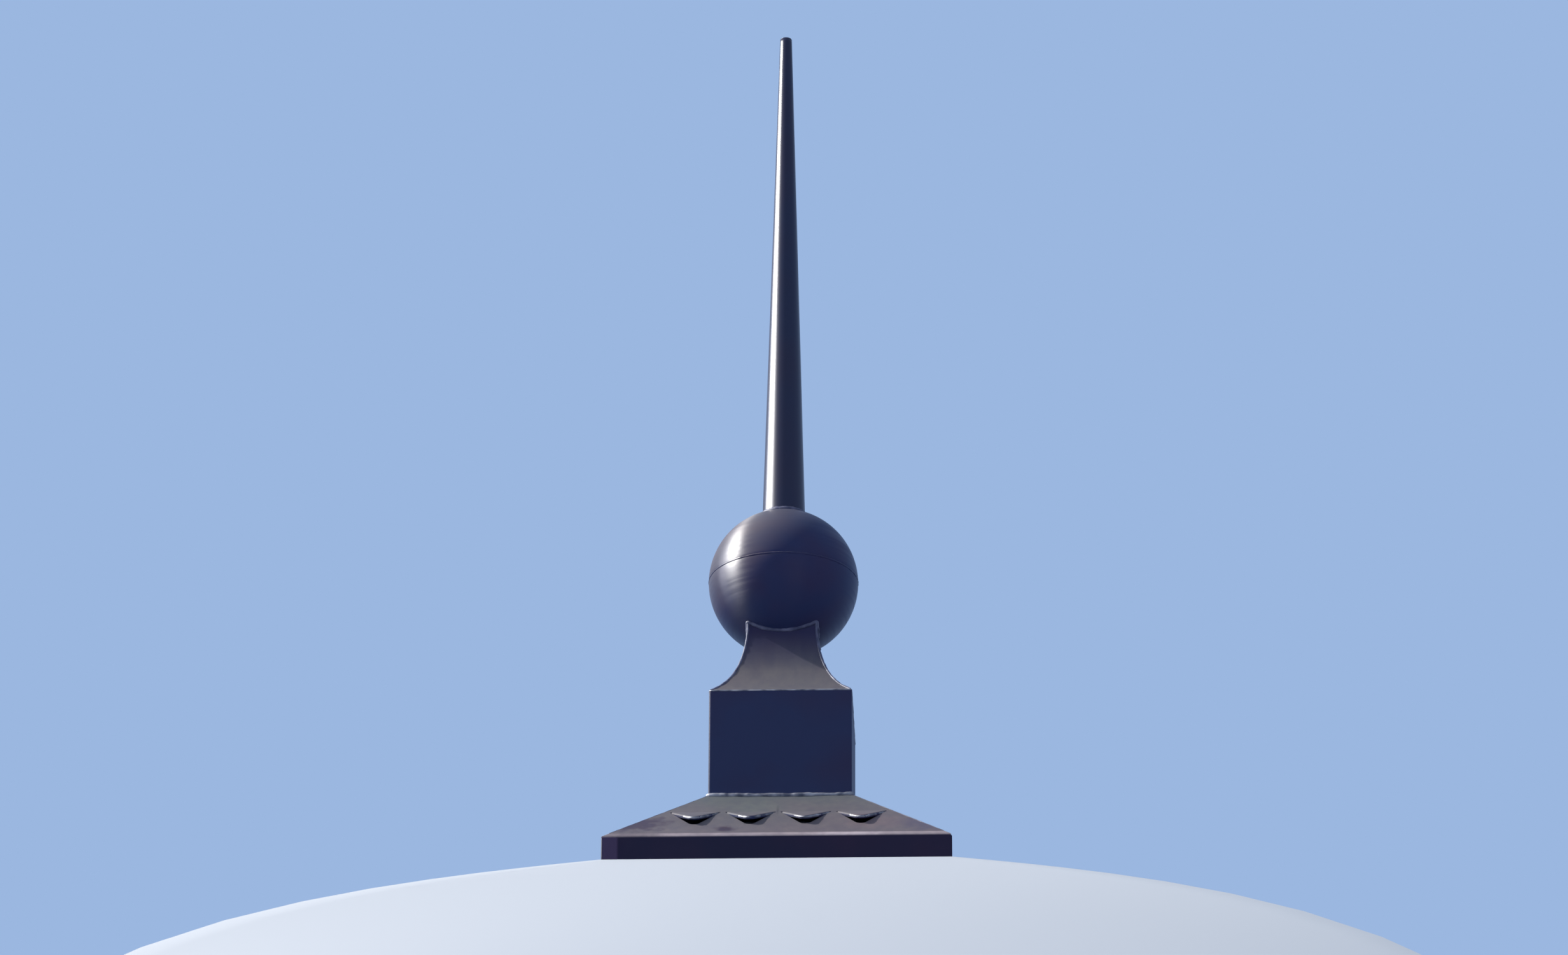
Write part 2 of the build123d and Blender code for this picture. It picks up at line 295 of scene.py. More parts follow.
# On the rolled cone: darker and glossier, with hardly any of the film of painted sunlight
rolledCoat = {
    **roundCoat,
    "cool": "#182040",
    "warm": "#211e3a",
    "litFilmStart": 0.62,
    "litFilmFull": 3.0,
    "ringDepth": 0.0,
    "roughness": 0.3,
    "ringDulling": 0.0,
    "gloss": 0.34,
    "stretch": 0.0,
}


def makeRoundCoat(name, values):
    material, tree = newMaterial(name)
    place = addNode(tree, "ShaderNodeTexCoord").outputs["Object"]
    patches = addNode(tree, "ShaderNodeTexNoise", {
        "Vector": place, "Scale": 1 / values["patchSize"], "Detail": 3.0})
    patchShare = addNode(tree, "ShaderNodeMapRange", {
        "Value": patches.outputs[0],
        "From Min": values["patchEdges"][0], "From Max": values["patchEdges"][1]})
    coat = addNode(tree, "ShaderNodeMix", {
        0: patchShare.outputs[0], 6: hexColour(values["cool"]), 7: hexColour(values["warm"])},
        data_type="RGBA")
    litFilm = addNode(tree, "ShaderNodeMix", {
        0: patchShare.outputs[0], 6: hexColour(values["litFilmCool"]), 7: hexColour(values["litFilmWarm"])},
        data_type="RGBA")
    # painted sunlight: the film share grows on faces turned towards the key
    litFacing = addNode(tree, "ShaderNodeVectorMath", {
        0: addNode(tree, "ShaderNodeNewGeometry").outputs["Normal"], 1: values["weatherAndLitSide"]},
        operation="DOT_PRODUCT")
    litFilmShare = addNode(tree, "ShaderNodeMapRange", {
        "Value": litFacing.outputs["Value"],
        "From Min": values["litFilmStart"], "From Max": values["litFilmFull"]})
    colour = addNode(tree, "ShaderNodeMix", {
        0: litFilmShare.outputs[0], 6: coat.outputs[2], 7: litFilm.outputs[2]}, data_type="RGBA")
    alongAxis = addNode(tree, "ShaderNodeMapping", {
        "Vector": place, "Scale": (values["ringWaver"], values["ringWaver"], 1 / values["ringSize"])})
    rings = addNode(tree, "ShaderNodeTexNoise", {
        "Vector": alongAxis.outputs[0], "Scale": 1.0, "Detail": 3.0})
    surface = addNode(tree, "ShaderNodeBump", {
        "Height": rings.outputs[0], "Distance": values["ringDepth"], "Strength": 1.0})
    roughness = addNode(tree, "ShaderNodeMapRange", {
        "Value": rings.outputs[0],
        "From Min": values["ringEdges"][0], "From Max": values["ringEdges"][1],
        "To Min": values["roughness"], "To Max": values["roughness"] + values["ringDulling"]})
    tangent = addNode(tree, "ShaderNodeTangent", direction_type="RADIAL", axis="Z")
    shader = addNode(tree, "ShaderNodeBsdfPrincipled", {
        "Base Color": colour.outputs[2], "Roughness": roughness.outputs[0],
        "Specular IOR Level": values["gloss"], "Anisotropic": values["stretch"],
        "Anisotropic Rotation": values["stretchTurn"], "Normal": surface.outputs[0],
        "Tangent": tangent.outputs[0]})
    addNode(tree, "ShaderNodeOutputMaterial", {"Surface": shader.outputs[0]})
    return material


# Soft solder: the seams, wiped by hand. Along the box it is worn bare, and elsewhere coated.
# To the eye: a light lead grey, a little lumpy, duller in its hollows, and dark slate where coated.
# This light grey also serves as a painted highlight on the neck's foot and on the tongues' cut edges
solderLook = {
    "light": "#9598a2",
    "dark": "#464a5a",
    "lumpSize": 0.014,
    "lumpEdges": (0.35, 0.65),
    "grainSize": 0.0016,
    "grainDepth": 0.0001,
    "roughness": 0.42,
    "hollowDulling": 0.1,
    "metal": 0.3,
    "gloss": 0.5,
}
coatedSolderLook = {
    **solderLook,
    "light": "#616682",
    "dark": "#404560",
    "roughness": 0.5,
    "metal": 0.0,
    "gloss": 0.15,
}


def makeSolder(name, values):
    material, tree = newMaterial(name)
    place = addNode(tree, "ShaderNodeTexCoord").outputs["Object"]
    lumps = addNode(tree, "ShaderNodeTexNoise", {
        "Vector": place, "Scale": 1 / values["lumpSize"], "Detail": 2.0})
    share = addNode(tree, "ShaderNodeMapRange", {
        "Value": lumps.outputs[0],
        "From Min": values["lumpEdges"][0], "From Max": values["lumpEdges"][1]})
    colour = addNode(tree, "ShaderNodeMix", {
        0: share.outputs[0], 6: hexColour(values["dark"]), 7: hexColour(values["light"])},
        data_type="RGBA")
    grain = addNode(tree, "ShaderNodeTexNoise", {
        "Vector": place, "Scale": 1 / values["grainSize"], "Detail": 1.0})
    surface = addNode(tree, "ShaderNodeBump", {
        "Height": grain.outputs[0], "Distance": values["grainDepth"], "Strength": 1.0})
    roughness = addNode(tree, "ShaderNodeMapRange", {
        "Value": share.outputs[0],
        "To Min": values["roughness"] + values["hollowDulling"], "To Max": values["roughness"]})
    shader = addNode(tree, "ShaderNodeBsdfPrincipled", {
        "Base Color": colour.outputs[2], "Roughness": roughness.outputs[0],
        "Metallic": values["metal"], "Specular IOR Level": values["gloss"],
        "Normal": surface.outputs[0]})
    addNode(tree, "ShaderNodeOutputMaterial", {"Surface": shader.outputs[0]})
    return material


# Hot-dip galvanised steel: the mast, its socket, bars and plate, seen only from below.
# To the eye: pale zinc grey broken into flat crystals about 12 mm across, each with its own sheen.
zincLook = {
    "pale": "#a7abb0",
    "dull": "#84888e",
    "spangleSize": 0.012,
    "roughness": (0.28, 0.5),       # the smoothest and the dullest crystal
    "metal": 0.9,
}


def makeZinc(name, values):
    material, tree = newMaterial(name)
    place = addNode(tree, "ShaderNodeTexCoord").outputs["Object"]
    spangle = addNode(tree, "ShaderNodeTexVoronoi", {
        "Vector": place, "Scale": 1 / values["spangleSize"]})
    crystal = addNode(tree, "ShaderNodeSeparateColor", {0: spangle.outputs["Color"]})
    colour = addNode(tree, "ShaderNodeMix", {
        0: crystal.outputs[0], 6: hexColour(values["dull"]), 7: hexColour(values["pale"])},
        data_type="RGBA")
    roughness = addNode(tree, "ShaderNodeMapRange", {
        "Value": crystal.outputs[1],
        "To Min": values["roughness"][0], "To Max": values["roughness"][1]})
    shader = addNode(tree, "ShaderNodeBsdfPrincipled", {
        "Base Color": colour.outputs[2], "Roughness": roughness.outputs[0],
        "Metallic": values["metal"]})
    addNode(tree, "ShaderNodeOutputMaterial", {"Surface": shader.outputs[0]})
    return material


coatedSheet = makeSheetCoat("satin_coated_steel_sheet", sheetCoat)
coatedRim = makeSheetCoat("satin_coated_steel_rim", rimCoat)
spunSteel = makeRoundCoat("satin_coated_spun_steel", roundCoat)
rolledSteel = makeRoundCoat("satin_coated_rolled_steel", rolledCoat)
softSolder = makeSolder("wiped_soft_solder", solderLook)
coatedSolder = makeSolder("coated_soft_solder", coatedSolderLook)
zincSteel = makeZinc("galvanised_spangle_steel", zincLook)
for nodeName, node in nodes.items():
    node.data.materials.clear()
    if nodeName.startswith("mast_"):
        node.data.materials.append(zincSteel)
    elif nodeName.startswith("drip_edge_"):
        node.data.materials.append(coatedRim)
    else:
        node.data.materials.append(coatedSheet)
print("materials:", len(bpy.data.materials))


# Geometry Nodes: each tree is built once and baked into plain meshes
def makeTree(name, sockets):
    tree = bpy.data.node_groups.new(name, "GeometryNodeTree")
    tree.interface.new_socket("Geometry", in_out="INPUT", socket_type="NodeSocketGeometry")
    for label, (kind, value) in sockets.items():
        socket = tree.interface.new_socket(label, in_out="INPUT", socket_type="NodeSocket" + kind)
        if value is not None:
            socket.default_value = value
    tree.interface.new_socket("Geometry", in_out="OUTPUT", socket_type="NodeSocketGeometry")
    return tree, addNode(tree, "NodeGroupInput").outputs


def closeTree(tree, geometry, material):
    smooth = addNode(tree, "GeometryNodeSetShadeSmooth", {0: geometry})
    real = addNode(tree, "GeometryNodeRealizeInstances", {0: smooth.outputs[0]})
    dressed = addNode(tree, "GeometryNodeSetMaterial", {0: real.outputs[0], "Material": material})
    addNode(tree, "NodeGroupOutput", {0: dressed.outputs[0]})
    return tree


def pathMesh(name, lines, closed):
    mesh = bpy.data.meshes.new(name)
    points, edges = [], []
    for line in lines:
        first = len(points)
        points += [tuple(point) for point in line]
        edges += [(first + i, first + i + 1) for i in range(len(line) - 1)]
        if closed:
            edges.append((len(points) - 1, first))
    mesh.from_pydata(points, edges, [])
    return mesh


def bakePiece(name, tree, values, lines, closed=False, replaced=()):
    carrier = newObject(name + "Carrier", pathMesh(name + "Path", lines, closed))
    modifier = carrier.modifiers.new("build", "NODES")
    modifier.node_group = tree
    for item in tree.interface.items_tree:
        if item.in_out == "INPUT" and item.name in values:
            modifier[item.identifier] = values[item.name]
    graph = bpy.context.evaluated_depsgraph_get()
    mesh = bpy.data.meshes.new_from_object(carrier.evaluated_get(graph), depsgraph=graph)
    bpy.data.objects.remove(carrier)
    mesh.name = name
    piece = newObject(name, mesh)
    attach(piece, "root")
    if replaced:
        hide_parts(*replaced)
    print(name, len(mesh.polygons), "faces")
    return piece


# A turned form: a profile of (radius, 0, height) points taken once round the axis, with shallow dents
def makeTurnedTree():
    tree, sent = makeTree("turnedForm", {
        "Segments": ("Int", 96),
        "Dent Depth": ("Float", 0.0001),
        "Dent Size": ("Float", 0.05),
        "Seed": ("Int", 1),
        "Weld": ("Float", 0.000002),
        "Material": ("Material", None),
    })
    profile = sent["Geometry"]
    count = addNode(tree, "GeometryNodeAttributeDomainSize", {0: profile}, component="MESH").outputs[0]
    columns = addNode(tree, "ShaderNodeMath", {0: sent["Segments"], 1: 1.0}, operation="ADD")
    grid = addNode(tree, "GeometryNodeMeshGrid", {
        "Size X": 1.0, "Size Y": 1.0, "Vertices X": columns.outputs[0], "Vertices Y": count})
    here = addNode(tree, "GeometryNodeInputPosition").outputs[0]
    share = addNode(tree, "ShaderNodeVectorMath", {0: here, 1: (0.5, 0.5, 0.0)}, operation="ADD")
    flat = addNode(tree, "ShaderNodeSeparateXYZ", {0: share.outputs[0]})
    rows = addNode(tree, "ShaderNodeMath", {0: count, 1: 1.0}, operation="SUBTRACT")
    row = addNode(tree, "ShaderNodeMath", {0: flat.outputs[1], 1: rows.outputs[0]},
                  operation="MULTIPLY")
    whole = addNode(tree, "ShaderNodeMath", {0: row.outputs[0]}, operation="ROUND")
    point = addNode(tree, "GeometryNodeSampleIndex", {0: profile}, data_type="FLOAT_VECTOR")
    tree.links.new(here, point.inputs[1])
    tree.links.new(whole.outputs[0], point.inputs["Index"])
    turn = addNode(tree, "ShaderNodeMath", {0: flat.outputs[0], 1: math.tau}, operation="MULTIPLY")
    place = addNode(tree, "ShaderNodeVectorRotate", {
        "Vector": point.outputs[0], "Angle": turn.outputs[0]}, rotation_type="Z_AXIS")
    rolled = addNode(tree, "GeometryNodeSetPosition", {
        0: grid.outputs[0], "Position": place.outputs[0]})
    closed = addNode(tree, "GeometryNodeMergeByDistance", {
        0: rolled.outputs[0], "Distance": sent["Weld"]})
    fineness = addNode(tree, "ShaderNodeMath", {0: 1.0, 1: sent["Dent Size"]}, operation="DIVIDE")
    dents = addNode(tree, "ShaderNodeTexNoise", {
        "Vector": here, "W": sent["Seed"], "Scale": fineness.outputs[0], "Detail": 1.0},
        noise_dimensions="4D")
    depth = addNode(tree, "ShaderNodeMath", {0: dents.outputs[0], 1: sent["Dent Depth"]},
                    operation="MULTIPLY")
    inward = addNode(tree, "ShaderNodeMath", {0: depth.outputs[0], 1: -1.0}, operation="MULTIPLY")
    push = addNode(tree, "ShaderNodeVectorMath", {
        0: addNode(tree, "GeometryNodeInputNormal").outputs[0], "Scale": inward.outputs[0]},
        operation="SCALE")
    dented = addNode(tree, "GeometryNodeSetPosition", {
        0: closed.outputs[0], "Offset": push.outputs[0]})
    return closeTree(tree, dented.outputs[0], sent["Material"])


# A bead: a round section swept along a path, with lumps in its width and a wandering line
def makeBeadTree():
    tree, sent = makeTree("wipedBead", {
        "Radius": ("Float", 0.0015),
        "Lumps": ("Float", 0.3),
        "Lump Size": ("Float", 0.008),
        "Wander": ("Float", 0.0003),
        "Spacing": ("Float", 0.0015),
        "Sides": ("Int", 8),
        "Seed": ("Int", 1),
        "Material": ("Material", None),
    })
    line = addNode(tree, "GeometryNodeMeshToCurve", {0: sent["Geometry"]})
    even = addNode(tree, "GeometryNodeResampleCurve", {
        "Curve": line.outputs[0], "Length": sent["Spacing"]}, mode="LENGTH")
    here = addNode(tree, "GeometryNodeInputPosition").outputs[0]
    fineness = addNode(tree, "ShaderNodeMath", {0: 1.0, 1: sent["Lump Size"]}, operation="DIVIDE")
    noise = addNode(tree, "ShaderNodeTexNoise", {
        "Vector": here, "W": sent["Seed"], "Scale": fineness.outputs[0], "Detail": 2.0},
        noise_dimensions="4D")
    swing = addNode(tree, "ShaderNodeMapRange", {
        "Value": noise.outputs["Fac"], "From Min": 0.25, "From Max": 0.75,
        "To Min": -1.0, "To Max": 1.0})
    share = addNode(tree, "ShaderNodeMath", {
        0: swing.outputs[0], 1: sent["Lumps"], 2: 1.0}, operation="MULTIPLY_ADD")
    width = addNode(tree, "ShaderNodeMath", {0: share.outputs[0], 1: sent["Radius"]},
                    operation="MULTIPLY")
    aside = addNode(tree, "ShaderNodeVectorMath", {
        0: noise.outputs["Color"], 1: (0.5, 0.5, 0.5)}, operation="SUBTRACT")
    drift = addNode(tree, "ShaderNodeVectorMath", {
        0: aside.outputs[0], "Scale": sent["Wander"]}, operation="SCALE")
    loose = addNode(tree, "GeometryNodeSetPosition", {
        0: even.outputs[0], "Offset": drift.outputs[0]})
    section = addNode(tree, "GeometryNodeCurvePrimitiveCircle", {
        "Resolution": sent["Sides"], "Radius": 1.0})
    bead = addNode(tree, "GeometryNodeCurveToMesh", {
        "Curve": loose.outputs[0], "Profile Curve": section.outputs[0], "Scale": width.outputs[0],
        "Fill Caps": True})
    return closeTree(tree, bead.outputs[0], sent["Material"])


turnedTree = makeTurnedTree()
beadTree = makeBeadTree()

# The ball: two spun cups that meet at a shallow groove, where a thin line of solder lies under the coat
ballShape = {
    "poleStep": 2.0,        # degrees between rows
    "grooveStep": 0.35,     # the same, near the groove
    "grooveReach": 3.5,
    "grooveDepth": 0.0003,
    "grooveWidth": 0.0022,
    "segments": 192,
    "dentDepth": 0.0004,
    "dentSize": 0.055,
}


def makeBall(values):
    angles = []
    angle = -90.0
    while angle < 90.0:
        angles.append(angle)
        near = abs(angle + values["grooveStep"]) < values["grooveReach"]
        angle += values["grooveStep"] if near else values["poleStep"]
    angles.append(90.0)
    profile = []
    for angle in angles:
        turn = math.radians(angle)
        aside = ballRadius * turn / values["grooveWidth"]
        radius = ballRadius - values["grooveDepth"] * math.exp(-aside * aside)
        profile.append((radius * math.cos(turn), 0, ballCentre + radius * math.sin(turn)))
    return bakePiece("spunBall", turnedTree, {
        "Segments": values["segments"], "Dent Depth": values["dentDepth"],
        "Dent Size": values["dentSize"], "Seed": 3, "Material": spunSteel,
    }, [profile], replaced=("ball_upper_half", "ball_lower_half"))


# The spire: a rolled cone, its rows close enough to show the hand's slight waves, and a crowned plug
spireShape = {
    "footRadius": 0.0255,
    "sunk": 0.006,
    "rows": 150,
    "segments": 128,
    "dentDepth": 0.0003,
    "dentSize": 0.07,
    "plugEdge": 0.0012,
    "plugRise": 0.15,       # the share of the plug's height below its rounding
    "plugRows": 8,
    "plugSegments": 48,
}


def coneRadius(height):
    share = (height - ballCentre - ballRadius) / (tipTop - ballCentre - ballRadius)
    return spireShape["footRadius"] + share * (tipRadius - spireShape["footRadius"])


def makeSpire(values):
    foot = ballCentre + math.sqrt(ballRadius ** 2 - values["footRadius"] ** 2) - values["sunk"]
    heights = [foot + (coneTop - foot) * row / values["rows"] for row in range(values["rows"] + 1)]
    cone = [(0, 0, foot)] + [(coneRadius(z), 0, z) for z in heights] + [(0, 0, coneTop)]
    bakePiece("rolledSpire", turnedTree, {
        "Segments": values["segments"], "Dent Depth": values["dentDepth"],
        "Dent Size": values["dentSize"], "Seed": 8, "Material": rolledSteel,
    }, [cone], replaced=("spire_cone",))
    crown = tipTop - coneTop
    plug = [(0, 0, coneTop), (tipRadius - values["plugEdge"] / 2, 0, coneTop)]
    for row in range(values["plugRows"] + 1):
        turn = math.pi / 2 * row / values["plugRows"]
        rise = values["plugRise"] + (1 - values["plugRise"]) * math.sin(turn)
        plug.append(((tipRadius - values["plugEdge"] / 4) * math.cos(turn), 0, coneTop + crown * rise))
    bakePiece("tipPlug", turnedTree, {
        "Segments": values["plugSegments"], "Dent Depth": 0.0, "Seed": 1, "Material": rolledSteel,
    }, [plug], replaced=("spire_tip_plug",))


makeBall(ballShape)
makeSpire(spireShape)

# Seams: solder wiped along every joint of the sheets
seamPlan = {
    "cornerRadius": 0.0025,
    "clear": 0.001,         # how far a seam keeps from the ends of its joint
    "neckHead": {"Radius": 0.0025, "Lumps": 0.35, "Wander": 0.0018, "Seed": 11},
    "neckHeadRise": 0.09,   # above the box, where the width of the neck's head is read
    "neckFoot": {"Radius": 0.0012, "Lumps": 0.12, "Wander": 0.0003, "Seed": 12},
    "neckFootInset": 0.0007,
    "boxFoot": {"Radius": 0.0031, "Lumps": 0.4, "Lump Size": 0.014, "Wander": 0.0016, "Seed": 13},
    "boxFootSag": 0.0022,
    "neckArris": {"Radius": 0.0016, "Lumps": 0.25, "Wander": 0.0005, "Seed": 14},
    "neckSteps": 44,
    "skirtHip": {"Radius": 0.0006, "Lumps": 0.3, "Wander": 0.0005, "Seed": 15},
    "skirtSteps": 20,
    "ballSeam": {"Radius": 0.0013, "Lumps": 0.25, "Wander": 0.0004, "Sides": 10, "Seed": 16},
    "ballSeamSunk": 0.0011,
    "ballSteps": 300,
    "spireFoot": {"Radius": 0.0032, "Lumps": 0.18, "Wander": 0.0006, "Sides": 12, "Seed": 17},
    "spireFootPlace": (0.0006, 0.0008),     # out from the foot and up from it
    "spireFootSteps": 160,
    "spireBack": {"Radius": 0.0011, "Lumps": 0.3, "Wander": 0.0008, "Seed": 18},
    "spireBackSunk": 0.0003,
    "spireBackSteps": 30,
    "lapEdge": {"Radius": 0.0007, "Lumps": 0.25, "Wander": 0.0003, "Seed": 19},
    "lapWidth": 0.018,
    "lapFoot": 0.002,
    "lapHeight": 0.0235,
    "lapSteps": 8,
}


def turned(x, y, quarter):
    for _ in range(quarter):
        x, y = -y, x
    return x, y


def squareOutline(half, corner, sideSteps=48, bendSteps=6):
    run = half - corner
    side = [(-run + 2 * run * i / sideSteps, -half) for i in range(sideSteps)]
    bends = [math.radians(-90 + 90 * i / bendSteps) for i in range(bendSteps)]
    side += [(run + corner * math.cos(a), -run + corner * math.sin(a)) for a in bends]
    return [turned(x, y, quarter) for quarter in range(4) for x, y in side]


def ringLine(radius, height, steps):
    turns = [2 * math.pi * i / steps for i in range(steps)]
    return [(radius * math.cos(a), radius * math.sin(a), height) for a in turns]


def ballUnderside(x, y):
    return ballCentre - math.sqrt(ballRadius ** 2 - x * x - y * y)


# How far a node's front face stands out from the axis at one height
def frontReach(nodeName, height):
    return -nodes[nodeName].ray_cast((0, -1, height), (0, 1, 0))[1].y


def readSkirtFall(clear):
    high, low = boxFoot - clear, rimTop + clear
    return (high - low) / (frontReach("skirt_front", low) - frontReach("skirt_front", high))


bpy.context.view_layer.update()
skirtFall = readSkirtFall(0.005)


def cornerLines(nodeName, low, high, steps, corner, faceTop=None):
    cut = corner * (1 - math.sqrt(0.5))
    lines = [[] for _ in range(4)]
    for i in range(steps + 1):
        height = low + (high - low) * i / steps
        out = frontReach(nodeName, min(height, faceTop or height)) - cut
        for quarter in range(4):
            x, y = turned(out, -out, quarter)
            lines[quarter].append((x, y, height))
    return lines


def makeSeams(plan):
    corner = plan["cornerRadius"]

    def seam(name, label, lines, closed=False, replaced=(), metal=coatedSolder):
        values = {**plan[label], "Material": metal}
        bakePiece(name, beadTree, values, lines, closed, replaced)

    clear = plan["clear"]
    faceTop = ballUnderside(0, frontReach("neck_front", boxTop + plan["neckHeadRise"])) - clear
    neckHead = frontReach("neck_front", faceTop)
    cornerTop = ballUnderside(neckHead - corner, neckHead - corner)
    head = [(x, y, ballUnderside(x, y)) for x, y in squareOutline(neckHead, corner)]
    seam("neckHeadSeam", "neckHead", [head], True)
    # At the neck's foot the pale bead is partly solder and partly a painted highlight for the shine on
    # the rounded bend
    neckFoot = [(x, y, boxTop) for x, y in squareOutline(boxHalf - plan["neckFootInset"], corner)]
    seam("neckFootSeamAndHighlight", "neckFoot", [neckFoot], True, metal=softSolder)
    sagging = []        # the solder has run down the slope in the middle of each side
    for x, y in squareOutline(boxHalf, corner):
        sag = plan["boxFootSag"] * max(0.0, 1 - (min(abs(x), abs(y)) / (boxHalf - corner)) ** 2)
        far = max(abs(x), abs(y))
        sagging.append((x * (far + sag) / far if abs(x) == far else x,
                        y * (far + sag) / far if abs(y) == far else y, boxFoot - sag * skirtFall))
    seam("boxFootSeam", "boxFoot", [sagging], True, metal=softSolder)
    seam("neckArrisSeams", "neckArris", cornerLines(
        "neck_front", boxTop + clear, cornerTop, plan["neckSteps"], corner, faceTop))
    seam("skirtHipSeams", "skirtHip", cornerLines(
        "skirt_front", rimTop + clear, boxFoot - clear, plan["skirtSteps"], corner))
    ballRing = ringLine(ballRadius - plan["ballSeamSunk"], ballCentre, plan["ballSteps"])
    seam("ballSeam", "ballSeam", [ballRing], True, ("ball_seam_band",), metal=spunSteel)
    foot = ballCentre + math.sqrt(ballRadius ** 2 - spireShape["footRadius"] ** 2)
    aside, up = plan["spireFootPlace"]
    footRing = ringLine(spireShape["footRadius"] + aside, foot + up, plan["spireFootSteps"])
    seam("spireFootSeam", "spireFoot", [footRing], True, ("spire_foot_ring",))
    steps = plan["spireBackSteps"]
    back = [foot + (coneTop - foot) * i / steps for i in range(steps + 1)]
    seam("spireBackSeam", "spireBack", [[(0, coneRadius(z) - plan["spireBackSunk"], z) for z in back]])
    steps = plan["lapSteps"]
    lapLines = []
    for quarter in range(4):
        x, y = turned(-rimHalf + plan["lapWidth"] + clear, -rimHalf + clear, quarter)
        lapLines.append([
            (x, y, plan["lapFoot"] + plan["lapHeight"] * i / steps) for i in range(steps + 1)])
    seam("lapEdgeSeams", "lapEdge", lapLines)


makeSeams(seamPlan)

# Painted highlights: light beads laid on the tongues' cut edges, round the tip and along one limb, that
# stand for the glint of the key on the rolled lips
ventPaintedGlints = {
    "count": 4,
    "pitch": 0.0635,
    "width": 0.057,
    "length": 0.052,
    "start": 0.063,         # from the box's foot down the slope to the hinge
    "lift": 0.0105,
    "tipRadius": 0.007,
    "tipSteps": 12,
    "inset": 0.0012,
    "drop": 0.0022,         # how far below the tongue's face the edge rolls under
    "from": 0.70,           # share of the left limb, from its root, where the bright edge begins
    "bead": {"Radius": 0.0015, "Lumps": 0.3, "Lump Size": 0.006, "Wander": 0.0002, "Spacing": 0.001,
             "Seed": 21},
}


def makeVentPaintedGlints(values):
    limb = math.atan2(values["width"] / 2, values["length"])
    radius = values["tipRadius"]
    middle = -values["length"] + radius / math.sin(limb)        # centre of the round tip
    reach = radius - values["inset"]
    steps = values["tipSteps"]
    turns = [math.pi + limb + (math.pi - 2 * limb) * i / steps for i in range(steps + 1)]
    tip = [(reach * math.cos(a), middle + reach * math.sin(a)) for a in turns]
    root = (-values["width"] / 2 + values["inset"] / math.cos(limb), 0.0)
    share = values["from"]
    first = tuple(r + (t - r) * share for r, t in zip(root, tip[0]))
    outline = [first] + tip + [(-root[0], 0.0)]
    slope = math.atan(skirtFall)
    up = Vector((0, math.cos(slope), math.sin(slope)))
    out = Vector((0, -math.sin(slope), math.cos(slope)))
    lift = math.asin(values["lift"] / values["length"])
    along = up * math.cos(lift) - out * math.sin(lift)
    away = out * math.cos(lift) + up * math.sin(lift)
    hinge = Vector((0, -boxHalf, boxFoot)) - up * values["start"]
    lines = []
    for vent in range(values["count"]):
        aside = (vent - (values["count"] - 1) / 2) * values["pitch"]
        for quarter in range(4):
            line = []
            for x, y in outline:
                place = hinge + Vector((aside + x, 0, 0)) + along * y - away * values["drop"]
                line.append((*turned(place.x, place.y, quarter), place.z))
            lines.append(line)
    # the pale solder colour on these beads is a painted highlight
    bakePiece("ventPaintedGlints", beadTree, {**values["bead"], "Material": softSolder}, lines)


makeVentPaintedGlints(ventPaintedGlints)

# The stage: a pale floor that falls away from the rim, since the camera looks up from below it
floorLook = {
    "colour": "#ccd7e6",
    "fall": math.radians(27),
    "reach": 16.0,
    "rings": 40,
    "ringSpread": 3,        # the rings widen outwards by this power
    "spokes": 128,
    "roundFrom": 1.2,       # out from the rim, where the square outline has turned round
    "glow": 0.4,
    "lit": 0.45,            # how much of its colour answers to the lamps, beside the glow
    "roughness": 0.9,
    "gloss": 0.1,
}


def makeFloor(values):
    mesh = bmesh.new()
    rows = []
    for ring in range(values["rings"] + 1):
        out = values["reach"] * (ring / values["rings"]) ** values["ringSpread"]
        blend = min(1.0, out / values["roundFrom"])
        blend = blend * blend * (3 - 2 * blend)
        row = []
        for spoke in range(values["spokes"]):
            turn = 2 * math.pi * spoke / values["spokes"]
            square = 1 / max(abs(math.cos(turn)), abs(math.sin(turn)))
            radius = (rimHalf + out) * (square + (1.0 - square) * blend)
            place = (radius * math.cos(turn), radius * math.sin(turn), -out * math.tan(values["fall"]))
            row.append(mesh.verts.new(place))
        rows.append(row)
    mesh.faces.new(rows[0])
    for inner, outer in zip(rows, rows[1:]):
        for spoke in range(values["spokes"]):
            after = (spoke + 1) % values["spokes"]
            mesh.faces.new((inner[spoke], outer[spoke], outer[after], inner[after])).smooth = True
    floorMesh = bpy.data.meshes.new("paleFloor")
    mesh.to_mesh(floorMesh)
    mesh.free()
    material, tree = newMaterial("matt_pale_paper")
    seen = addNode(tree, "ShaderNodeLightPath")
    glowSeen = addNode(tree, "ShaderNodeMath", {0: seen.outputs["Is Camera Ray"], 1: values["glow"]},
                       operation="MULTIPLY")
    shader = addNode(tree, "ShaderNodeBsdfPrincipled", {
        "Base Color": tuple(values["lit"] * c for c in hexColour(values["colour"])[:3]) + (1.0,),
        "Roughness": values["roughness"], "Specular IOR Level": values["gloss"],
        "Emission Color": hexColour(values["colour"]), "Emission Strength": glowSeen.outputs[0]})
    addNode(tree, "ShaderNodeOutputMaterial", {"Surface": shader.outputs[0]})
    floorMesh.materials.append(material)
    newObject("paleFloor", floorMesh)


makeFloor(floorLook)

